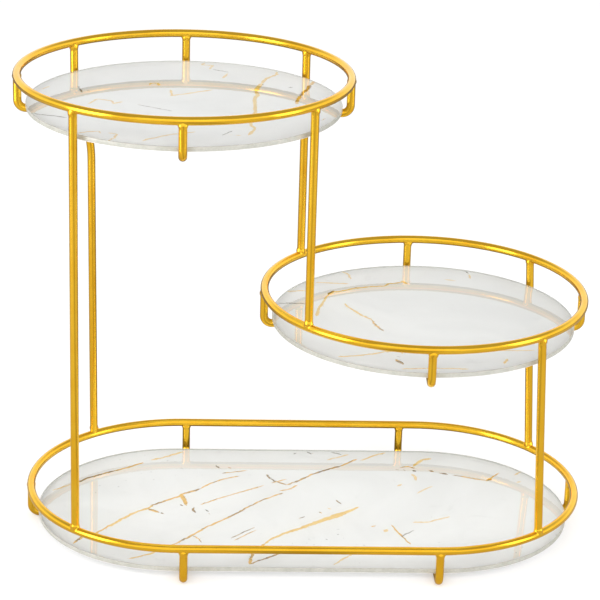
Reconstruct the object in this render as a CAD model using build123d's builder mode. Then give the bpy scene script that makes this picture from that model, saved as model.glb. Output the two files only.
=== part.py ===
# Tiered cake stand: a welded gold wire frame that carries three loose glass trays.
# Origin on the table under the middle of the stand, +X along its length, +Z up.
from build123d import *
import os
from math import cos, radians, sin, sqrt

os.makedirs("parts", exist_ok=True)

# Wire
wire = 5.0
half_wire = wire / 2

# Rails: two rings and, below them, a stadium
bottom_radius = 95.0
bottom_straight = 154.0
middle_radius = 98.5
middle_offset = 71.0
top_radius = 99.5
top_offset = -78.0
bottom_height = 24.0
middle_height = 155.0
top_height = 290.5

# The stadium stands off the origin, so that the whole stand is centred on it
bottom_x = (top_radius - top_offset - bottom_radius - bottom_straight / 2) / 2
middle_x = bottom_x + middle_offset
top_x = bottom_x + top_offset
left_arc_x = bottom_x - bottom_straight / 2
right_arc_x = bottom_x + bottom_straight / 2

# Brackets: a leg under the rail that turns inward as a foot under the glass
bracket_bend = 5.0
bracket_foot = 20.0
bracket_drop = 22.3
foot_drop = bottom_height - half_wire
# A leg starts a little below the rail's centreline, so that its saddle has no knife edge
saddle_start = 1.2

# Posts run from rail to rail and lean a little, because the rails differ in size.
# Each end is an angle round the ring or arc that it is welded to.
left_front_angles = (-128.8, -132.1)
left_rear_angles = (126.9, 128.4)
right_front_angles = (-49.7, -47.8)
right_rear_angles = (41.3, 38.7)
# The rear left post steps along the top ring between these heights
left_rear_stub_angle = 134.3
step_high = 256.0
step_low = 228.0
step_bend = 70.0

# Trays: clear glass with the marble pattern printed on a film under it
top_glass_radius = 94.5
middle_glass_radius = 93.5
bottom_glass_radius = 87.5
bottom_glass_straight = 160.0
glass_thickness = 2.8
glass_chamfer = 0.4
film_thickness = 0.2
film_inset = 0.6
rest_gap = 0.25


def save(piece, label):
    piece.part.label = label
    export_step(piece.part, f"parts/{label}.step")


def polar(centre_x, radius, angle):
    return centre_x + radius * cos(radians(angle)), radius * sin(radians(angle))


# Rails
with BuildPart(Plane((top_x, 0, top_height))) as top_rail:
    Torus(top_radius, half_wire)
save(top_rail, "top_rail")

with BuildPart(Plane((middle_x, 0, middle_height))) as middle_rail:
    Torus(middle_radius, half_wire)
save(middle_rail, "middle_rail")

with BuildPart() as bottom_rail:
    half_straight = bottom_straight / 2
    with BuildLine(Plane((bottom_x, 0, bottom_height))):
        Line((-half_straight, -bottom_radius), (half_straight, -bottom_radius))
        CenterArc((half_straight, 0), bottom_radius, -90, 180)
        Line((half_straight, bottom_radius), (-half_straight, bottom_radius))
        CenterArc((-half_straight, 0), bottom_radius, 90, 180)
    front_start = (bottom_x - half_straight, -bottom_radius, bottom_height)
    with BuildSketch(Plane(front_start, x_dir=(0, 1, 0), z_dir=(1, 0, 0))):
        Circle(half_wire)
    sweep()
save(bottom_rail, "bottom_rail")


# Brackets and feet
def bracket(label, rail, at, height, inward, drop):
    """One L of wire; inward is the level direction from the rail to the foot's end."""
    side = Plane((*at, height), x_dir=(*inward, 0), z_dir=(inward[1], -inward[0], 0))
    with BuildPart() as piece:
        with BuildLine(side):
            FilletPolyline((0, -saddle_start), (0, -drop), (bracket_foot, -drop), radius=bracket_bend)
        with BuildSketch(Plane((*at, height - saddle_start), z_dir=(0, 0, -1))):
            Circle(half_wire)
        sweep()
        add(rail.part, mode=Mode.SUBTRACT)
    save(piece, label)


def ring_bracket(label, rail, centre_x, radius, height, angle, drop):
    inward = (-cos(radians(angle)), -sin(radians(angle)))
    bracket(label, rail, polar(centre_x, radius, angle), height, inward, drop)


top_bracket_angles = {"left": 180, "right": 0, "front": -90, "rear": 90}
middle_bracket_angles = {"left": 180, "right": 0, "front": -91.7, "rear": 91.4}
for side_name, angle in top_bracket_angles.items():
    ring_bracket(f"top_{side_name}_bracket", top_rail, top_x, top_radius, top_height, angle, bracket_drop)
for side_name, angle in middle_bracket_angles.items():
    ring_bracket(
        f"middle_{side_name}_bracket", middle_rail, middle_x, middle_radius, middle_height, angle, bracket_drop
    )

ring_bracket("bottom_left_foot", bottom_rail, left_arc_x, bottom_radius, bottom_height, 180, foot_drop)
ring_bracket("bottom_right_foot", bottom_rail, right_arc_x, bottom_radius, bottom_height, 6, foot_drop)
long_side_feet = {
    "bottom_front_left_foot": (-75, -1),
    "bottom_front_right_foot": (79, -1),
    "bottom_rear_left_foot": (-75, 1),
    "bottom_rear_right_foot": (68, 1),
}
for label, (along, side_sign) in long_side_feet.items():
    foot_at = (bottom_x + along, side_sign * bottom_radius)
    bracket(label, bottom_rail, foot_at, bottom_height, (0, -side_sign), foot_drop)


# Posts
def rail_point(centre_x, radius, angle, height):
    return Vector(*polar(centre_x, radius, angle), height)


def straight_post(label, upper, lower, upper_rail, lower_rail):
    way = (upper - lower).normalized()
    with BuildPart() as piece:
        with BuildSketch(Plane(lower + way * saddle_start, z_dir=way)):
            Circle(half_wire)
        extrude(amount=(upper - lower).length - 2 * saddle_start)
        add(lower_rail.part, mode=Mode.SUBTRACT)
        add(upper_rail.part, mode=Mode.SUBTRACT)
    save(piece, label)


straight_post(
    "front_left_post",
    rail_point(top_x, top_radius, left_front_angles[0], top_height),
    rail_point(left_arc_x, bottom_radius, left_front_angles[1], bottom_height),
    top_rail,
    bottom_rail,
)

# The middle posts stand where the two rings cross, seen from above
crossing_x = (top_x + middle_x) / 2 + (top_radius**2 - middle_radius**2) / (2 * (middle_x - top_x))
crossing_y = sqrt(top_radius**2 - (crossing_x - top_x) ** 2)
for label, y in {"front_middle_post": -crossing_y, "rear_middle_post": crossing_y}.items():
    straight_post(
        label, Vector(crossing_x, y, top_height), Vector(crossing_x, y, middle_height), top_rail, middle_rail
    )

for label, angles in {"front_right_post": right_front_angles, "rear_right_post": right_rear_angles}.items():
    straight_post(
        label,
        rail_point(middle_x, middle_radius, angles[0], middle_height),
        rail_point(right_arc_x, bottom_radius, angles[1], bottom_height),
        middle_rail,
        bottom_rail,
    )

# The stub of the rear left post is parallel to its long leg
leg_top = rail_point(top_x, top_radius, left_rear_angles[0], top_height)
leg_end = rail_point(left_arc_x, bottom_radius, left_rear_angles[1], bottom_height)
stub_end = rail_point(top_x, top_radius, left_rear_stub_angle, top_height)
leg = (leg_end - leg_top) / (top_height - bottom_height)
with BuildPart() as rear_left_post:
    with BuildLine():
        FilletPolyline(
            stub_end + leg * saddle_start,
            stub_end + leg * (top_height - step_high),
            leg_top + leg * (top_height - step_low),
            leg_end - leg * saddle_start,
            radius=step_bend,
        )
    with BuildSketch(Plane(stub_end + leg * saddle_start, z_dir=leg)):
        Circle(half_wire)
    sweep()
    add(top_rail.part, mode=Mode.SUBTRACT)
    add(bottom_rail.part, mode=Mode.SUBTRACT)
save(rear_left_post, "rear_left_post")


# Trays
def plate(label, centre_x, radius, straight, low, thickness, edge):
    with BuildPart() as piece:
        with BuildSketch(Plane((centre_x, 0, low))):
            if straight:
                SlotCenterToCenter(straight, 2 * radius)
            else:
                Circle(radius)
        extrude(amount=thickness)
        if edge:
            chamfer(piece.faces().filter_by(Axis.Z).edges(), edge)
    save(piece, label)


trays = {
    "top": (top_x, top_glass_radius, 0, top_height - bracket_drop),
    "middle": (middle_x, middle_glass_radius, 0, middle_height - bracket_drop),
    "bottom": (bottom_x, bottom_glass_radius, bottom_glass_straight, bottom_height - foot_drop),
}
for tier, (centre_x, radius, straight, foot_height) in trays.items():
    film_low = foot_height + half_wire + rest_gap
    glass_low = film_low + film_thickness
    plate(f"{tier}_marble_film", centre_x, radius - film_inset, straight, film_low, film_thickness, 0)
    plate(f"{tier}_glass", centre_x, radius, straight, glass_low, glass_thickness, glass_chamfer)
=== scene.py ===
import math
import random

import bpy
from mathutils import Matrix, Vector


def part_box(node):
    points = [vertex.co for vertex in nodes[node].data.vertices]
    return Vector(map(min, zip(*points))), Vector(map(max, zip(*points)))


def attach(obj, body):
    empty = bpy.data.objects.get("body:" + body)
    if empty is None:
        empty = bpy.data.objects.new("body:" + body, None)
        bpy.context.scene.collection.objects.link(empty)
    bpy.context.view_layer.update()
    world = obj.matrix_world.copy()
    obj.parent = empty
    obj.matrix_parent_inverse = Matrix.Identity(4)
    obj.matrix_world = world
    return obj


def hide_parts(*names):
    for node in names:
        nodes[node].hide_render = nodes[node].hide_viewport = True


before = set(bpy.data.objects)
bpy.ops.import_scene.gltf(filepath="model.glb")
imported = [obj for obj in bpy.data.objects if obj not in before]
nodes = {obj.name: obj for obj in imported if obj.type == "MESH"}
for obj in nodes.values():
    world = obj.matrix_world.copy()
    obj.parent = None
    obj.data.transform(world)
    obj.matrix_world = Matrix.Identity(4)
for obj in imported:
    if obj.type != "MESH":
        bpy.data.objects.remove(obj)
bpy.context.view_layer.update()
mm = 0.001


# small helpers, used for every piece

def clearSelection():
    if bpy.context.mode != "OBJECT":
        bpy.ops.object.mode_set(mode="OBJECT")
    bpy.ops.object.select_all(action="DESELECT")


def pickOnly(piece):
    clearSelection()
    piece.select_set(True)
    bpy.context.view_layer.objects.active = piece


def selectVerts(piece, test):                 # leaves edit mode on
    pickOnly(piece)
    bpy.ops.object.mode_set(mode="EDIT")
    bpy.ops.mesh.select_mode(type="VERT")
    bpy.ops.mesh.select_all(action="DESELECT")
    bpy.ops.object.mode_set(mode="OBJECT")
    for vert in piece.data.vertices:
        vert.select = test(vert.co)
    bpy.ops.object.mode_set(mode="EDIT")


def selectFaces(piece, test):
    pickOnly(piece)
    bpy.ops.object.mode_set(mode="EDIT")
    bpy.ops.mesh.select_mode(type="FACE")
    bpy.ops.mesh.select_all(action="DESELECT")
    bpy.ops.object.mode_set(mode="OBJECT")
    for face in piece.data.polygons:
        face.select = test(face)
    bpy.ops.object.mode_set(mode="EDIT")


def fixPlace(piece):
    pickOnly(piece)
    bpy.ops.object.transform_apply(location=True, rotation=True, scale=True)


def addModifier(piece, kind, **settings):
    pickOnly(piece)
    modifier = piece.modifiers.new(kind.title(), kind)
    for key, value in settings.items():
        setattr(modifier, key, value)
    bpy.ops.object.modifier_apply(modifier=modifier.name)


def setMaterial(piece, *materials):
    piece.data.materials.clear()
    for material in materials:
        piece.data.materials.append(material)


clearSelection()


# materials

class Nodes:                                  # a node tree with short calls for adding and wiring
    def __init__(self, tree):
        self.tree = tree
        tree.nodes.clear()

    def add(self, kind, **settings):
        node = self.tree.nodes.new(kind)
        for key, value in settings.items():
            setattr(node, key, value)
        return node

    def wire(self, source, target):
        self.tree.links.new(source, target)

    def noise(self, vector, scale, detail=3.0, roughness=0.55, distortion=0.0):
        node = self.add("ShaderNodeTexNoise")
        node.inputs["Scale"].default_value = scale
        node.inputs["Detail"].default_value = detail
        node.inputs["Roughness"].default_value = roughness
        node.inputs["Distortion"].default_value = distortion
        self.wire(vector, node.inputs["Vector"])
        return node.outputs["Fac"]

    def ramp(self, factor, *stops):
        node = self.add("ShaderNodeValToRGB")
        points = node.color_ramp.elements
        while len(points) < len(stops):
            points.new(0.5)
        for point, (place, colour) in zip(points, stops):
            point.position = place
            point.color = (*colour, 1)
        self.wire(factor, node.inputs["Fac"])
        return node.outputs["Color"]

    def spread(self, factor, lowIn, highIn, lowOut, highOut):
        node = self.add("ShaderNodeMapRange")
        ends = {"From Min": lowIn, "From Max": highIn, "To Min": lowOut, "To Max": highOut}
        for name, value in ends.items():
            node.inputs[name].default_value = value
        self.wire(factor, node.inputs["Value"])
        return node.outputs["Result"]

    def blend(self, factor, first, second):
        node = self.add("ShaderNodeMix", data_type="RGBA")
        for socket, value in ((node.inputs[0], factor), (node.inputs[6], first), (node.inputs[7], second)):
            if isinstance(value, bpy.types.NodeSocket):
                self.wire(value, socket)
            else:
                socket.default_value = value if isinstance(value, float) else (*value, 1)
        return node.outputs[2]

    def bump(self, height, strength, distance):
        node = self.add("ShaderNodeBump")
        node.inputs["Strength"].default_value = strength
        node.inputs["Distance"].default_value = distance
        self.wire(height, node.inputs["Height"])
        return node.outputs["Normal"]


def newMaterial(name):
    material = bpy.data.materials.new(name)
    material.use_nodes = True
    tree = Nodes(material.node_tree)
    out = tree.add("ShaderNodeOutputMaterial")
    shader = tree.add("ShaderNodeBsdfPrincipled")
    place = tree.add("ShaderNodeTexCoord").outputs["Object"]
    tree.wire(shader.outputs[0], out.inputs["Surface"])
    return material, tree, shader, place, out


def goldWireMaterial():
    look = {
        "gold": (0.95, 0.565, 0.042),
        "deepGold": (0.91, 0.510, 0.030),
        "duskGold": (0.74, 0.38, 0.020),
        "roughLow": 0.14,
        "roughHigh": 0.20,
        "cloudScale": 55,                     # slow change of tone along a wire
        "grainScale": 900,                    # grain of the plating
        "pitScale": 2600,
        "fleck": 0.08,
        "pitStrength": 0.04,
        "pitDepth": 0.04 * mm,
    }
    material, tree, shader, place, out = newMaterial("goldWire")
    cloud = tree.noise(place, look["cloudScale"], 2.0)
    grain = tree.noise(place, look["grainScale"], 3.0, 0.6)
    pits = tree.noise(place, look["pitScale"], 2.0, 0.6)
    tone = tree.ramp(cloud, (0.35, look["deepGold"]), (0.6, look["gold"]))
    fleck = tree.spread(grain, 0.55, 0.80, 0.0, look["fleck"])
    tree.wire(tree.blend(fleck, tone, look["duskGold"]), shader.inputs["Base Color"])
    tree.wire(tree.spread(grain, 0.3, 0.7, look["roughLow"], look["roughHigh"]), shader.inputs["Roughness"])
    tree.wire(tree.bump(pits, look["pitStrength"], look["pitDepth"]), shader.inputs["Normal"])
    shader.inputs["Metallic"].default_value = 1.0
    return material


def clearGlassMaterial():
    look = {
        "tint": (0.972, 0.986, 0.976),
        "shadowTint": (0.93, 0.95, 0.94),
        "smudge": 0.018,
        "index": 1.5,
    }
    material, tree, shader, place, out = newMaterial("clearGlass")
    smear = tree.noise(place, 40, 4.0, 0.6)
    tree.wire(tree.spread(smear, 0.45, 0.75, 0.0, look["smudge"]), shader.inputs["Roughness"])
    shader.inputs["Base Color"].default_value = (*look["tint"], 1)
    shader.inputs["Transmission Weight"].default_value = 1.0
    shader.inputs["IOR"].default_value = look["index"]
    through = tree.add("ShaderNodeBsdfTransparent")
    through.inputs["Color"].default_value = (*look["shadowTint"], 1)
    lamps = tree.add("ShaderNodeLightPath").outputs["Is Shadow Ray"]
    mix = tree.add("ShaderNodeMixShader")
    tree.wire(lamps, mix.inputs[0])
    tree.wire(shader.outputs[0], mix.inputs[1])
    tree.wire(through.outputs[0], mix.inputs[2])
    tree.wire(mix.outputs[0], out.inputs["Surface"])
    return material


def plateEdgeMaterial():
    look = {
        "edge": (0.47, 0.465, 0.42),
        "deepEdge": (0.40, 0.40, 0.355),
        "roughLow": 0.22,
        "roughHigh": 0.34,
    }
    material, tree, shader, place, out = newMaterial("plateEdge")
    haze = tree.noise(place, 160, 3.0, 0.6)
    grind = tree.noise(place, 900, 2.0, 0.6)
    tone = tree.ramp(haze, (0.35, look["deepEdge"]), (0.62, look["edge"]))
    tree.wire(tone, shader.inputs["Base Color"])
    tree.wire(tree.spread(grind, 0.3, 0.7, look["roughLow"], look["roughHigh"]), shader.inputs["Roughness"])
    shader.inputs["IOR"].default_value = 1.5
    return material


def marblePrintMaterial():
    look = {
        "white": (0.855, 0.850, 0.842),
        "cloud": (0.805, 0.800, 0.792),
        "shade": (0.68, 0.675, 0.66),
        "speck": (0.20, 0.19, 0.17),
    }
    material, tree, shader, place, out = newMaterial("marblePrint")
    drift = tree.noise(place, 11, 5.0, 0.6, 1.2)
    wisp = tree.noise(place, 26, 6.0, 0.65, 2.5)
    dust = tree.noise(place, 420, 1.0, 0.5)
    patch = tree.noise(place, 9, 2.0)
    base = tree.ramp(drift, (0.34, look["cloud"]), (0.58, look["white"]))
    wisps = tree.spread(wisp, 0.60, 0.72, 0.0, 0.35)
    base = tree.blend(wisps, base, look["shade"])
    rare = tree.add("ShaderNodeMath", operation="MULTIPLY")
    tree.wire(tree.spread(dust, 0.75, 0.79, 0.0, 1.0), rare.inputs[0])
    tree.wire(tree.spread(patch, 0.56, 0.62, 0.0, 0.7), rare.inputs[1])
    tree.wire(tree.blend(rare.outputs[0], base, look["speck"]), shader.inputs["Base Color"])
    tree.wire(tree.spread(drift, 0.3, 0.7, 0.32, 0.42), shader.inputs["Roughness"])
    return material


def veinMaterial(name, light, deep, lowFlip, highFlip):
    material, tree, shader, place, out = newMaterial(name)
    run = tree.noise(place, 120, 4.0, 0.7, 0.6)
    crumb = tree.noise(place, 900, 2.0, 0.6)
    tone = tree.ramp(run, (lowFlip, light), (highFlip, deep))
    pale = tuple(min(1.0, value * 1.25 + 0.06) for value in light)
    worn = tree.spread(crumb, 0.5, 0.66, 0.0, 0.75)
    tree.wire(tree.blend(worn, tone, pale), shader.inputs["Base Color"])
    tree.wire(tree.spread(crumb, 0.3, 0.7, 0.28, 0.4), shader.inputs["Roughness"])
    return material


goldWire = goldWireMaterial()
clearGlass = clearGlassMaterial()
plateEdge = plateEdgeMaterial()
marblePrint = marblePrintMaterial()
veinTones = {
    "gold": veinMaterial("veinGold", (0.74, 0.44, 0.07), (0.24, 0.13, 0.02), 0.50, 0.58),
    "dark": veinMaterial("veinDark", (0.44, 0.25, 0.05), (0.06, 0.04, 0.02), 0.46, 0.58),
    "pale": veinMaterial("veinPale", (0.82, 0.62, 0.30), (0.74, 0.50, 0.20), 0.42, 0.62),
    "bright": veinMaterial("veinBright", (0.80, 0.56, 0.17), (0.76, 0.47, 0.10), 0.46, 0.66),
    "grey": veinMaterial("veinGrey", (0.36, 0.34, 0.30), (0.15, 0.14, 0.12), 0.42, 0.60),
}
toneOrder = list(veinTones)
print("materials made")


# the welded wire frame keeps its CAD shapes and gets the plated finish

wireNames = [name for name in nodes if not name.endswith(("_glass", "_film"))]
for name in wireNames:
    for slot in nodes[name].material_slots:
        slot.material = goldWire
print("wires finished:", len(wireNames))


# weld fillets: both wires are copied near the joint, melted into one skin and eased

weldShape = {
    "reach": 5.4 * mm,                        # half the length of wire that a weld covers
    "voxel": 0.26 * mm,
    "easing": 26,
    "bead": 2.95 * mm,
    "beadOut": 0.15 * mm,
    "beadDrop": 2.7 * mm,
    "cornerRun": 77 * mm,                     # a long tray's end arcs start this far from its middle
}


def weldJoint(name, wires, centre, bead):
    copies = []
    for wire in wires:
        copy = bpy.data.objects.new(name, nodes[wire].data.copy())
        bpy.context.scene.collection.objects.link(copy)
        copies.append(copy)
    clearSelection()
    for copy in copies:
        copy.select_set(True)
    bpy.context.view_layer.objects.active = copies[0]
    bpy.ops.object.join()
    weld = bpy.context.object
    bpy.ops.object.mode_set(mode="EDIT")
    bpy.ops.mesh.select_all(action="SELECT")
    bpy.ops.mesh.remove_doubles(threshold=0.002 * mm)
    for axis in range(3):
        for side in (-1, 1):
            normal = [0, 0, 0]
            normal[axis] = side
            edge = Vector(centre) + Vector(normal) * weldShape["reach"]
            bpy.ops.mesh.select_all(action="SELECT")
            bpy.ops.mesh.bisect(plane_co=edge, plane_no=normal, use_fill=True, clear_outer=True)
    bpy.ops.mesh.primitive_uv_sphere_add(segments=24, ring_count=16, radius=weldShape["bead"], location=bead)
    bpy.ops.object.mode_set(mode="OBJECT")
    addModifier(weld, "REMESH", mode="VOXEL", voxel_size=weldShape["voxel"])
    addModifier(weld, "SMOOTH", factor=0.5, iterations=weldShape["easing"])
    pickOnly(weld)
    bpy.ops.object.shade_smooth()
    weld.name = name
    setMaterial(weld, goldWire)
    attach(weld, "frame")
    return weld


wireRadius = 2.5 * mm
railHeights = {}
for tier in ("top", "middle", "bottom"):
    low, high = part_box(tier + "_rail")
    railHeights[tier] = (low.z + high.z) / 2


# the axis of a bracket's upright, from the side of its box that faces away from the tray
def outerEnd(name, way):
    low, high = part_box(name)
    spot = (low + high) / 2
    if "left" in way:
        spot.x = low.x + wireRadius
    if "right" in way:
        spot.x = high.x - wireRadius
    if "front" in way:
        spot.y = low.y + wireRadius
    if "rear" in way:
        spot.y = high.y - wireRadius
    return spot


joints = []
for tier in ("top", "middle"):
    for way in ("left", "right", "front", "rear"):
        name = tier + "_" + way + "_bracket"
        joints.append((name, tier, outerEnd(name, way), -1))
for name, way in (("bottom_left_foot", "left"), ("bottom_right_foot", "right"),
                  ("bottom_front_left_foot", "front"), ("bottom_front_right_foot", "front"),
                  ("bottom_rear_left_foot", "rear"), ("bottom_rear_right_foot", "rear")):
    joints.append((name, "bottom", outerEnd(name, way), -1))
leans = {                                     # where each post's top stands, seen from its foot
    "front_left_post": ("top", "bottom", (1, -1)),
    "rear_left_post": ("top", "bottom", (-1, -1)),
    "front_right_post": ("middle", "bottom", (-1, -1)),
    "rear_right_post": ("middle", "bottom", (-1, 1)),
    "front_middle_post": ("top", "middle", (1, 1)),
    "rear_middle_post": ("top", "middle", (1, 1)),
}
for name, (upper, lower, lean) in leans.items():
    low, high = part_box(name)
    low += Vector((wireRadius, wireRadius, 0))
    high -= Vector((wireRadius, wireRadius, 0))
    head = Vector((high.x if lean[0] > 0 else low.x, high.y if lean[1] > 0 else low.y, 0))
    foot = Vector((low.x if lean[0] > 0 else high.x, low.y if lean[1] > 0 else high.y, 0))
    joints.append((name, upper, head, -1))
    joints.append((name, lower, foot, 1))

middleOf = {tier: (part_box(tier + "_rail")[0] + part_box(tier + "_rail")[1]) / 2 for tier in railHeights}
welds = []
for name, tier, spot, side in joints:
    height = railHeights[tier]
    away = Vector((spot.x - middleOf[tier].x, spot.y, 0))
    if tier == "bottom":
        away.x = math.copysign(max(abs(away.x) - weldShape["cornerRun"], 0), away.x)
    away.normalize()
    centre = (spot.x, spot.y, height + side * wireRadius)
    bead = spot + away * weldShape["beadOut"]
    bead.z = height + side * weldShape["beadDrop"]
    welds.append(weldJoint("weld_" + tier + "_" + name, [tier + "_rail", name], centre, bead))
print("welds made:", len(welds))


# glass plates with a rounded, polished edge

plateShape = {
    "around": 256,
    "edge": 0.45 * mm,
    "edgeSteps": 4,
    "capRing": 1.2 * mm,
    "filmEdge": 0.03 * mm,
    "filmOverhang": 0.25 * mm,
    "filmBond": 0.08 * mm,                    # the film's face sits a hair inside the glass
    "inkRise": 0.035 * mm,
}
trays = {
    "top": {"body": "top_tray"},
    "middle": {"body": "middle_tray"},
    "bottom": {"body": "bottom_tray"},
}


# a round or long plate that fills the box between two corners, with both rims eased
def plateBlank(name, low, high, edge):
    radius = (high.y - low.y) / 2
    straight = (high.x - low.x) - 2 * radius
    centre = (low + high) / 2
    bpy.ops.mesh.primitive_cylinder_add(
        vertices=plateShape["around"], radius=radius, depth=high.z - low.z, location=centre)
    plate = bpy.context.object
    plate.name = name
    fixPlace(plate)
    if straight > 1 * mm:
        for side in (-1, 1):
            selectVerts(plate, lambda co: (co.x - centre.x) * side > 0.1 * mm)
            bpy.ops.transform.translate(value=(side * straight / 2, 0, 0))
    selectFaces(plate, lambda face: abs(face.normal.z) > 0.9)
    bpy.ops.mesh.region_to_loop()
    bpy.ops.mesh.select_mode(type="EDGE")
    bpy.ops.mesh.bevel(offset=edge, segments=plateShape["edgeSteps"], profile=0.5, affect="EDGES")
    for side in (-1, 1):
        selectFaces(plate, lambda face: face.normal.z * side > 0.99 and len(face.vertices) > 8)
        bpy.ops.mesh.inset(thickness=plateShape["capRing"])
    bpy.ops.object.mode_set(mode="OBJECT")
    pickOnly(plate)
    bpy.ops.object.shade_smooth_by_angle(angle=math.radians(40))
    return plate


for tier, tray in trays.items():
    low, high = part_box(tier + "_glass")
    plate = plateBlank(tier + "_plate_glass", low, high, plateShape["edge"])
    setMaterial(plate, clearGlass, plateEdge)
    for face in plate.data.polygons:
        if abs(face.normal.z) < 0.85:
            face.material_index = 1
    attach(plate, tray["body"])
    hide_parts(tier + "_glass")

    low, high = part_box(tier + "_marble_film")
    low -= Vector((plateShape["filmOverhang"], plateShape["filmOverhang"], 0))
    high += Vector((plateShape["filmOverhang"], plateShape["filmOverhang"], plateShape["filmBond"]))
    film = plateBlank(tier + "_marble_sheet", low, high, plateShape["filmEdge"])
    setMaterial(film, marblePrint)
    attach(film, tray["body"])
    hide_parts(tier + "_marble_film")
    tray["centre"] = (low + high) / 2
    tray["inkHeight"] = high.z + plateShape["inkRise"]
print("plates made")


# printed veins, each stroke as tone, width and points in mm from the tray's centre, x right and y rear

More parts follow.
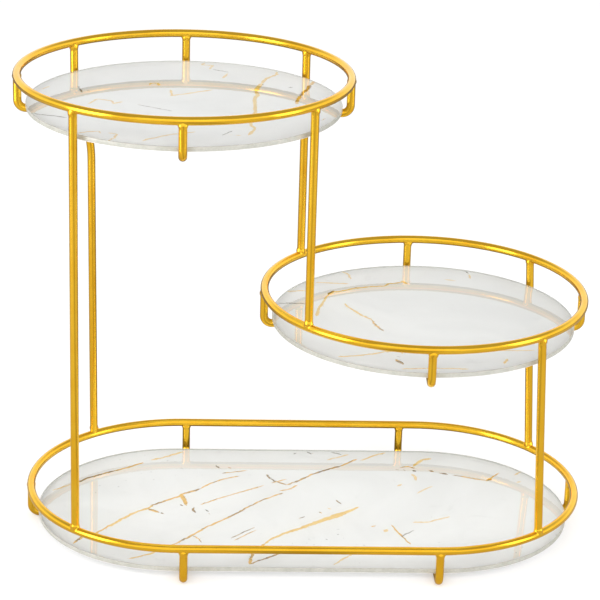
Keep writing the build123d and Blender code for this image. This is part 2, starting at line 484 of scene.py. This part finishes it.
veins = {
    "bottom": [
        ("pale", 1.1, [(-160, 21), (-150, 30), (-144, 35)]),
        ("dark", 1.3, [(-146, 33), (-139, 40), (-131, 46), (-121, 53)]),
        ("gold", 1.3, [(-122, 52), (-113, 58), (-103, 66)]),
        ("bright", 1.5, [(-98, 70), (-89, 75), (-77, 84)]),
        ("gold", 1.4, [(-143, -55), (-138, -46), (-129, -40), (-122, -30), (-115, -21)]),
        ("bright", 1.7, [(-122, -31), (-115, -21), (-105, -9), (-98, -4), (-95, 1)]),
        ("gold", 1.5, [(-97, -3), (-95, 1), (-88, 7), (-79, 14), (-76, 18), (-65, 26)]),
        ("gold", 1.1, [(-65, 26), (-60, 33), (-52, 40), (-40, 46)]),
        ("gold", 1.0, [(-51, 50), (-35, 55)]),
        ("gold", 2.6, [(-98, -5), (-94, -8), (-91, -10)]),
        ("dark", 1.0, [(-90, -10), (-88, -12)]),
        ("gold", 2.2, [(-77, 17), (-76, 11), (-75, 6), (-74, 1)]),
        ("dark", 1.0, [(-78, 2), (-76, 0)]),
        ("dark", 1.3, [(-69, -2), (-70, -6), (-68, -10)]),
        ("grey", 1.0, [(-62, -5), (-60, -8)]),
        ("dark", 0.9, [(-60, -10), (-59, -12)]),
        ("gold", 0.9, [(-65, 2), (-53, 12), (-40, 21), (-24, 32)]),
        ("bright", 1.3, [(-108, -75), (-96, -69), (-91, -64)]),
        ("gold", 1.2, [(-91, -64), (-79, -53), (-70, -42), (-60, -29), (-48, -17), (-38, -5)]),
        ("dark", 1.0, [(-48, -17), (-43, -11), (-38, -5), (-36, -2)]),
        ("gold", 1.1, [(-38, -4), (-26, 9), (-12, 21)]),
        ("gold", 1.0, [(-14, 24), (-7, 27), (-2, 33)]),
        ("gold", 1.4, [(-9, 33), (0, 41), (9, 51)]),
        ("dark", 1.5, [(7, 49), (13, 54), (19, 58), (27, 63)]),
        ("gold", 1.3, [(27, 63), (33, 69), (39, 75)]),
        ("bright", 1.2, [(42, 73), (52, 82), (59, 86)]),
        ("dark", 1.1, [(-9, 33), (-17, 39), (-20, 43), (-22, 49)]),
        ("gold", 0.9, [(-19, 36), (-14, 39), (-9, 42)]),
        ("gold", 0.8, [(-70, -42), (-66, -47), (-64, -52)]),
        ("bright", (1.4, 2.4), [(-25, -53), (-21, -46), (-10, -36), (2, -28)]),
        ("bright", (2.4, 4.8), [(-2, -30), (6, -24), (14, -17.5), (25, -9.5)]),
        ("bright", (4.8, 1.4), [(18, -14.5), (24, -10), (30, -5), (36, 1)]),
        ("gold", 1.5, [(-25, -53), (-29, -58), (-32, -64), (-34, -72), (-35, -81)]),
        ("dark", 1.2, [(-35, -81), (-29, -76), (-21, -70), (-14, -64)]),
        ("gold", 1.4, [(10, -7), (12, -9)]),
        ("pale", 1.2, [(16, -1), (18, -3)]),
        ("dark", 0.9, [(-3, -17), (1, -14)]),
        ("dark", 0.9, [(22, 11), (25, 5)]),
        ("dark", 0.7, [(-46, -46), (-39, -38), (-31, -30)]),
        ("gold", 0.6, [(-44, -49), (-37, -41), (-30, -34)]),
        ("pale", 1.2, [(19, 73), (27, 78), (34, 82)]),
        ("grey", 1.2, [(-3, 82), (-1, 84)]),
        ("grey", 1.0, [(6, 86), (9, 82)]),
        ("grey", 1.1, [(22, 86), (26, 84), (29, 82)]),
        ("grey", 1.1, [(-55, 63), (-54, 60), (-52, 58)]),
        ("dark", 0.9, [(-47, 60), (-45, 58)]),
        ("grey", 0.8, [(-78, 58), (-77, 56)]),
        ("grey", 0.8, [(-34, 48), (-32, 48)]),
        ("bright", 1.9, [(89, 77), (83, 75), (77, 66), (76, 64)]),
        ("gold", 1.1, [(67, 62), (72, 64), (77, 61)]),
        ("dark", 1.3, [(64, 59), (66, 58)]),
        ("dark", 1.2, [(69, 59), (70, 57)]),
        ("dark", 2.4, [(75, 58), (77, 56)]),
        ("pale", 1.7, [(74, 52), (76, 47), (76, 42)]),
        ("pale", 2.4, [(63, 33), (66, 36)]),
        ("pale", 0.9, [(75, 22), (80, 28), (86, 33)]),
        ("dark", 1.6, [(86, 58), (89, 56)]),
        ("dark", 1.5, [(92, 54), (95, 53), (98, 52)]),
        ("dark", 1.3, [(101, 51), (105, 50)]),
        ("gold", 1.3, [(104, 50), (112, 47), (122, 43)]),
        ("gold", 1.2, [(122, 42), (126, 47), (132, 55)]),
        ("dark", 2.4, [(123, 43), (126, 46)]),
        ("pale", 1.1, [(142, 52), (148, 58)]),
        ("pale", 1.2, [(142, 40), (145, 42)]),
        ("gold", 1.0, [(55, -25), (57, -31), (59, -37), (65, -52)]),
        ("grey", 0.7, [(60, -41), (69, -32)]),
        ("pale", 2.8, [(50, -35), (52, -31)]),
        ("gold", 0.9, [(42, -28), (45, -26)]),
        ("pale", 1.3, [(69, -21), (79, -20), (93, -12)]),
        ("pale", 1.1, [(16, -81), (22, -73), (28, -66)]),
    ],
    "top": [
        ("bright", 1.7, [(57, 73), (57, 67), (50, 56), (47, 45)]),
        ("dark", 1.8, [(48, 44), (46, 39)]),
        ("bright", 2.4, [(47, 45), (44, 33), (43, 27)]),
        ("bright", 2.0, [(43, 27), (44, 18), (42, 10), (42, 0), (42, -10), (42, -17), (41, -35)]),
        ("bright", 1.6, [(41, -35), (39, -43), (39, -48), (41, -52), (40, -58), (37, -67)]),
        ("bright", 1.1, [(33, -68), (30, -67)]),
        ("pale", 1.0, [(28, -67), (26, -67)]),
        ("gold", 1.7, [(81, 58), (79, 48), (77, 43)]),
        ("dark", 2.0, [(77, 43), (75, 33), (72, 27), (70, 18)]),
        ("gold", 1.8, [(70, 18), (68, 9), (67, 0)]),
        ("pale", 1.3, [(12, 92), (10, 87), (17, 86), (15, 77)]),
        ("grey", 0.9, [(17, 76), (23, 73), (27, 70)]),
        ("pale", 1.4, [(26, 67), (25, 61), (23, 56)]),
        ("gold", 1.3, [(0, 88), (2, 88)]),
        ("gold", 1.3, [(0, 79), (2, 79)]),
        ("bright", 1.4, [(-22, 37), (-21, 41), (-17, 42), (-16, 36)]),
        ("dark", 1.2, [(-22, 38), (-21, 40)]),
        ("bright", 1.1, [(-9, 27), (-8, 20), (-8, 14), (0, 18), (17, 29)]),
        ("pale", 1.2, [(-57, -7), (-52, 4), (-43, 0), (-42, -6), (-37, -1)]),
        ("grey", 1.1, [(-89, -29), (-82, -32), (-68, -37)]),
        ("pale", 1.0, [(-87, 23), (-82, 30)]),
        ("pale", 1.2, [(-60, -68), (-54, -65), (-48, -64), (-47, -68)]),
        ("pale", 1.2, [(-43, -67), (-38, -69), (-39, -77), (-43, -83)]),
        ("pale", 1.3, [(-23, -82), (-20, -78), (-7, -68), (7, -62)]),
        ("grey", 0.8, [(22, -68), (28, -59)]),
        ("grey", 0.7, [(-28, -7), (-18, -13), (-7, -20)]),
        ("grey", 1.0, [(63, 36), (66, 38)]),
        ("grey", 0.9, [(-65, 32), (-62, 18)]),
        ("grey", 0.8, [(-59, 22), (-57, 20)]),
        ("grey", 0.7, [(21, -43), (23, -41)]),
        ("gold", 0.9, [(81, -34), (83, -30)]),
    ],
    "middle": [
        ("bright", 1.4, [(-5, 60), (-8, 66), (-9, 63), (-17, 60), (-20, 56), (-30, 54)]),
        ("bright", 1.6, [(-30, 54), (-39, 51), (-50, 44), (-53, 44), (-57, 38)]),
        ("bright", 1.5, [(-57, 38), (-61, 25), (-64, 13), (-66, 0)]),
        ("dark", 1.5, [(-40, 51), (-37, 52)]),
        ("dark", 1.6, [(-53, 46), (-56, 41), (-57, 38)]),
        ("grey", 1.2, [(-89, 22), (-82, 22), (-72, 22)]),
        ("bright", 1.3, [(-47, 23), (-46, 18), (-38, 3), (-32, -5)]),
        ("gold", 1.2, [(-32, -5), (-30, -15), (-26, -24)]),
        ("bright", 1.4, [(-56, -67), (-45, -65), (-35, -62), (-28, -58), (-18, -57), (-17, -61)]),
        ("dark", 1.2, [(-21, -66), (-19, -66)]),
        ("gold", 2.2, [(-22, -70), (-20, -74), (-18, -78)]),
        ("pale", 1.2, [(-20, -85), (0, -83), (20, -84)]),
        ("pale", 1.2, [(20, -53), (42, -54), (63, -53)]),
        ("bright", 1.2, [(42, -75), (45, -67)]),
        ("grey", 0.9, [(34, 88), (37, 82)]),
        ("pale", 1.0, [(37, 80), (37, 72)]),
        ("pale", 1.0, [(20, 70), (27, 67)]),
        ("pale", 1.2, [(-47, 83), (-42, 77), (-41, 68)]),
        ("pale", 1.6, [(-64, 61), (-54, 60), (-43, 59)]),
        ("pale", 1.4, [(-83, 43), (-75, 45), (-66, 45)]),
    ],
}
inkShape = {
    "step": 1.8,
    "wander": 0.36,
    "thin": 0.75,
    "thick": 1.55,
    "tip": 0.25,
    "steadyFrom": 1.6,                        # wider strokes than this keep a cleaner outline
    "steadyThick": 1.1,
    "steadyCalm": 0.6,
    "height": 0.018 * mm,
    "speckEvery": 7.0,
    "speckReach": 1.1,
    "speckSizes": (0.12, 0.34),
    "speckLengths": (0.2, 0.7),
    "speckSlant": 0.4,
}


# divides a stroke into short runs that wander and swell, as (x, y, half width)
def brokenLine(points, widths, chance):
    firstWidth, lastWidth = widths
    steady = max(0.0, 1 - inkShape["steadyFrom"] / max(widths))
    calm = 1 - inkShape["steadyCalm"] * steady
    thin = inkShape["thin"] + (1 - inkShape["thin"]) * steady
    thick = inkShape["thick"] + (inkShape["steadyThick"] - inkShape["thick"]) * steady
    total = sum(math.dist(start, end) for start, end in zip(points, points[1:]))
    done = 0
    line = []
    for start, end in zip(points, points[1:]):
        length = math.dist(start, end)
        count = max(1, round(length / inkShape["step"]))
        for step in range(count):
            part = step / count
            width = firstWidth + (lastWidth - firstWidth) * (done + part * length) / total
            stray = inkShape["wander"] * min(1.0, width) * calm if line else 0
            x = start[0] + (end[0] - start[0]) * part + chance.uniform(-stray, stray)
            y = start[1] + (end[1] - start[1]) * part + chance.uniform(-stray, stray)
            line.append((x, y, width / 2 * chance.uniform(thin, thick)))
        done += length
    line.append((*points[-1], lastWidth / 2 * inkShape["tip"]))
    line[0] = (*points[0], firstWidth / 2 * inkShape["tip"])
    return line


# small dark specks of ink beside a stroke, in the same form
def inkSpecks(points, width, chance):
    specks = []
    for (x0, y0), (x1, y1) in zip(points, points[1:]):
        length = math.hypot(x1 - x0, y1 - y0)
        count = round(length / inkShape["speckEvery"] + chance.uniform(-0.4, 0.4))
        for each in range(count):
            part = chance.random()
            reach = width / 2 + inkShape["speckReach"] * chance.random()
            turn = chance.uniform(0, 2 * math.pi)
            x = x0 + (x1 - x0) * part + reach * math.cos(turn)
            y = y0 + (y1 - y0) * part + reach * math.sin(turn)
            size = chance.uniform(*inkShape["speckSizes"])
            endX = x + chance.uniform(*inkShape["speckLengths"])
            endY = y + chance.uniform(-inkShape["speckSlant"], inkShape["speckSlant"])
            specks.append([(x, y, size), (endX, endY, size * 0.6)])
    return specks


def printVeins(tier, tray):
    chance = random.Random(tier)
    drawing = bpy.data.curves.new(tier + "_veins", "CURVE")
    drawing.dimensions = "3D"
    drawing.bevel_depth = 1.0 * mm
    drawing.bevel_resolution = 1
    drawing.use_fill_caps = True
    for material in veinTones.values():
        drawing.materials.append(material)
    strokes = []
    for tone, width, points in veins[tier]:
        widths = width if isinstance(width, tuple) else (width, width)
        width = max(widths)
        strokes.append((tone, brokenLine(points, widths, chance)))
        if tone != "pale":
            strokes += [("dark", speck) for speck in inkSpecks(points, width, chance)]
    for tone, line in strokes:
        spline = drawing.splines.new("POLY")
        spline.points.add(len(line) - 1)
        for point, (x, y, half) in zip(spline.points, line):
            point.co = (tray["centre"].x + x * mm, tray["centre"].y + y * mm, tray["inkHeight"], 1)
            point.radius = half
        spline.material_index = toneOrder.index(tone)
    ink = bpy.data.objects.new(tier + "_veins", drawing)
    bpy.context.scene.collection.objects.link(ink)
    pickOnly(ink)
    bpy.ops.object.convert(target="MESH")
    ink = bpy.context.object
    bpy.ops.object.mode_set(mode="EDIT")
    bpy.ops.mesh.select_all(action="SELECT")
    middle = (tray["centre"].x, tray["centre"].y, tray["inkHeight"])
    tallest = max(half for tone, line in strokes for x, y, half in line) * mm
    bpy.ops.transform.resize(value=(1, 1, inkShape["height"] / tallest), center_override=middle)
    bpy.ops.mesh.normals_make_consistent(inside=False)
    bpy.ops.object.mode_set(mode="OBJECT")
    bpy.ops.object.shade_flat()
    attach(ink, tray["body"])


for tier, tray in trays.items():
    printVeins(tier, tray)
print("veins printed")


# floor, light and camera

def floorMaterial():
    look = {
        "glow": 0.35,                         # the table glows a little, so shadows stay faint
        "frontDark": (0.33, 0.32, 0.30),      # what the wires mirror, from the front round to the back
        "sideLight": (0.52, 0.50, 0.46),
        "sideSoft": (0.46, 0.44, 0.40),
        "backDark": (0.22, 0.21, 0.19),
    }
    material, tree, shader, place, out = newMaterial("paleFloor")
    tone = tree.ramp(tree.noise(place, 6, 3.0), (0.3, (0.94, 0.94, 0.94)), (0.7, (0.96, 0.96, 0.955)))
    tree.wire(tone, shader.inputs["Base Color"])
    shader.inputs["Roughness"].default_value = 0.9
    shader.inputs["Specular IOR Level"].default_value = 0.0
    lift = tree.add("ShaderNodeEmission")
    lift.inputs["Strength"].default_value = 1.0
    pale = tree.add("ShaderNodeMixShader")
    pale.inputs[0].default_value = look["glow"]
    tree.wire(shader.outputs[0], pale.inputs[1])
    tree.wire(lift.outputs[0], pale.inputs[2])
    spot = tree.add("ShaderNodeSeparateXYZ")
    tree.wire(place, spot.inputs[0])
    wide = tree.add("ShaderNodeMath", operation="ABSOLUTE")
    tree.wire(spot.outputs["X"], wide.inputs[0])
    near = tree.add("ShaderNodeMath", operation="MULTIPLY")
    near.inputs[1].default_value = -1.0
    tree.wire(spot.outputs["Y"], near.inputs[0])
    turn = tree.add("ShaderNodeMath", operation="ARCTAN2")
    tree.wire(wide.outputs[0], turn.inputs[0])
    tree.wire(near.outputs[0], turn.inputs[1])
    part = tree.spread(turn.outputs[0], 0.0, math.pi, 0.0, 1.0)
    room = tree.ramp(part, (0.05, look["frontDark"]), (0.12, look["sideLight"]),
                     (0.60, look["sideSoft"]), (0.80, look["backDark"]))
    dim = tree.add("ShaderNodeBsdfDiffuse")
    tree.wire(room, dim.inputs["Color"])
    mix = tree.add("ShaderNodeMixShader")
    tree.wire(tree.add("ShaderNodeLightPath").outputs["Is Glossy Ray"], mix.inputs[0])
    tree.wire(pale.outputs[0], mix.inputs[1])
    tree.wire(dim.outputs[0], mix.inputs[2])
    tree.wire(mix.outputs[0], out.inputs["Surface"])
    return material


bpy.ops.mesh.primitive_plane_add(size=9, location=(0, 0, -0.05 * mm))
floor = bpy.context.object
floor.name = "studio_floor"
fixPlace(floor)
setMaterial(floor, floorMaterial())

studio = {
    "left": {"place": (-0.95, -0.45, 0.36), "aim": (0, 0, 0.10), "size": (0.45, 0.8), "power": 4.8},
    "right": {"place": (0.95, -0.40, 0.36), "aim": (0, 0, 0.10), "size": (0.35, 0.8), "power": 1.9},
    "over": {"place": (-0.1, -1.10, 1.15), "aim": (0, 0, 0.15), "size": (1.3, 0.5), "power": 1.4},
    "fill": {"place": (0.0, -1.5, 1.1), "aim": (0, 0, 0.12), "size": (2.0, 0.8), "power": 11.5},
}
for name, lamp in studio.items():
    data = bpy.data.lights.new("softbox_" + name, "AREA")
    data.shape = "RECTANGLE"
    data.size, data.size_y = lamp["size"]
    data.energy = lamp["power"]
    box = bpy.data.objects.new("softbox_" + name, data)
    bpy.context.scene.collection.objects.link(box)
    box.location = lamp["place"]
    aim = Vector(lamp["aim"]) - Vector(lamp["place"])
    box.rotation_euler = aim.to_track_quat("-Z", "Y").to_euler()
    box.visible_camera = False
    box.visible_glossy = name != "fill"        # the fill lifts the print without a glare of its own

world = bpy.data.worlds.new("studioAir")
bpy.context.scene.world = world
world.use_nodes = True
air = Nodes(world.node_tree)
out = air.add("ShaderNodeOutputWorld")
way = air.add("ShaderNodeSeparateXYZ")
air.wire(air.add("ShaderNodeTexCoord").outputs["Generated"], way.inputs[0])
glow = air.ramp(way.outputs["Z"], (0.0, (1, 1, 1)), (0.42, (1, 1, 1)), (0.68, (0.42, 0.42, 0.42)))
room = air.add("ShaderNodeBackground")        # what shiny surfaces see
air.wire(glow, room.inputs["Color"])
room.inputs["Strength"].default_value = 1.15
wall = air.add("ShaderNodeBackground")        # what lights the stand and stands behind it
wall.inputs["Color"].default_value = (1, 1, 1, 1)
wall.inputs["Strength"].default_value = 1.05
mix = air.add("ShaderNodeMixShader")
air.wire(air.add("ShaderNodeLightPath").outputs["Is Glossy Ray"], mix.inputs[0])
air.wire(wall.outputs[0], mix.inputs[1])
air.wire(room.outputs[0], mix.inputs[2])
air.wire(mix.outputs[0], out.inputs["Surface"])
bpy.context.scene.view_settings.view_transform = "Standard"

view = {
    "place": (-65.9 * mm, -1380.3 * mm, 663.1 * mm),
    "pitch": math.radians(20.44),
    "roll": math.radians(1.68),
    "yaw": math.radians(2.62),
    "lens": 143.4,
}
ahead = Vector((math.sin(view["yaw"]) * math.cos(view["pitch"]),
                math.cos(view["yaw"]) * math.cos(view["pitch"]),
                -math.sin(view["pitch"])))
flatRight = Vector((math.cos(view["yaw"]), -math.sin(view["yaw"]), 0))
flatUp = flatRight.cross(ahead)
right = flatRight * math.cos(view["roll"]) + flatUp * math.sin(view["roll"])
up = flatUp * math.cos(view["roll"]) - flatRight * math.sin(view["roll"])
lensData = bpy.data.cameras.new("camera")
lensData.lens = view["lens"]
lensData.sensor_width = 36
lensData.clip_start = 0.05
camera = bpy.data.objects.new("camera", lensData)
bpy.context.scene.collection.objects.link(camera)
camera.matrix_world = Matrix.Translation(view["place"]) @ Matrix((right, up, -ahead)).transposed().to_4x4()
bpy.context.scene.camera = camera
print("studio made")

clearSelection()
